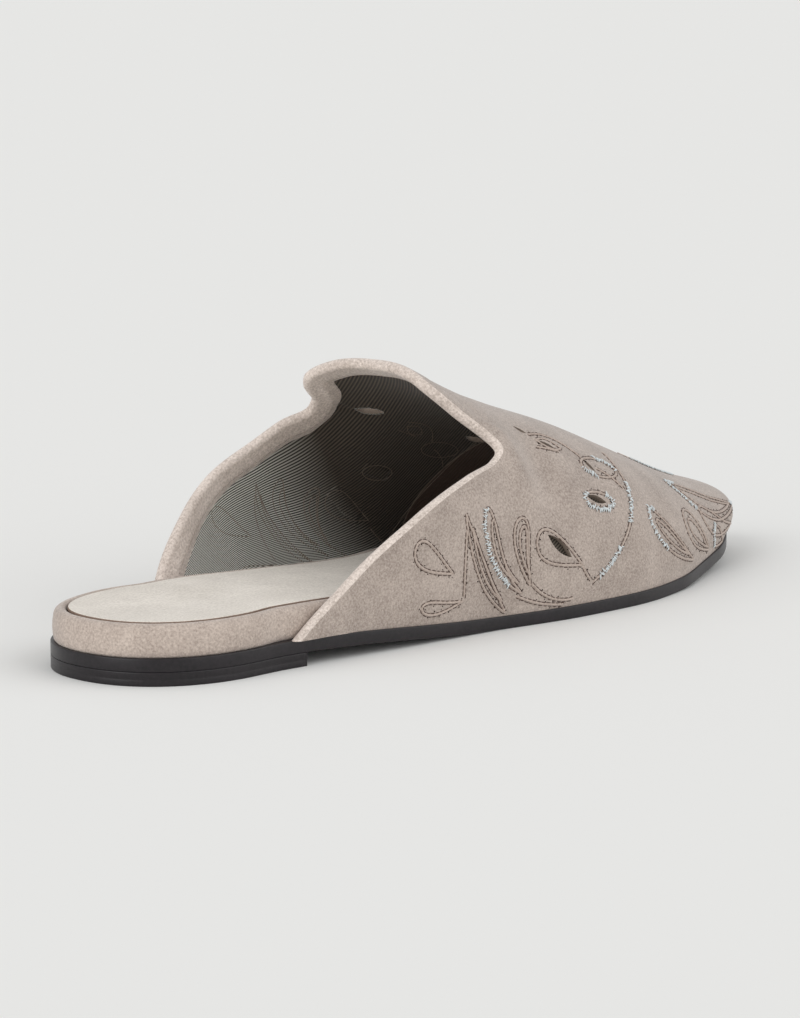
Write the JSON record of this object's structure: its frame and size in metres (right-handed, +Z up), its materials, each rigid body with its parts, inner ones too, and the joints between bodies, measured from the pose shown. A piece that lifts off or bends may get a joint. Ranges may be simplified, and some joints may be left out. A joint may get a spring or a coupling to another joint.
{
  "type": "mule",
  "caption": "Flat backless mule for the right foot, with a pointed suede upper, leaf cut-outs, a padded footbed and a leather sole on a low stacked heel.",
  "frame": {"origin": "on the plane that the shoe stands on, under the middle of the shoe's length and width", "axes": "+X from heel to toe, +Y to the inner (medial) side of the foot, +Z up"},
  "size_m": [0.2654, 0.0858, 0.071],
  "materials": {
    "suede": "napped taupe suede",
    "sock_suede": "fine light beige suede",
    "sole_leather": "dark brown-black, burnished"
  },
  "bodies": {
    "root": {"heel_lift": "sole_leather", "outsole": "sole_leather", "footbed": "suede", "sock": "sock_suede", "upper": "suede"}
  },
  "joints": []
}
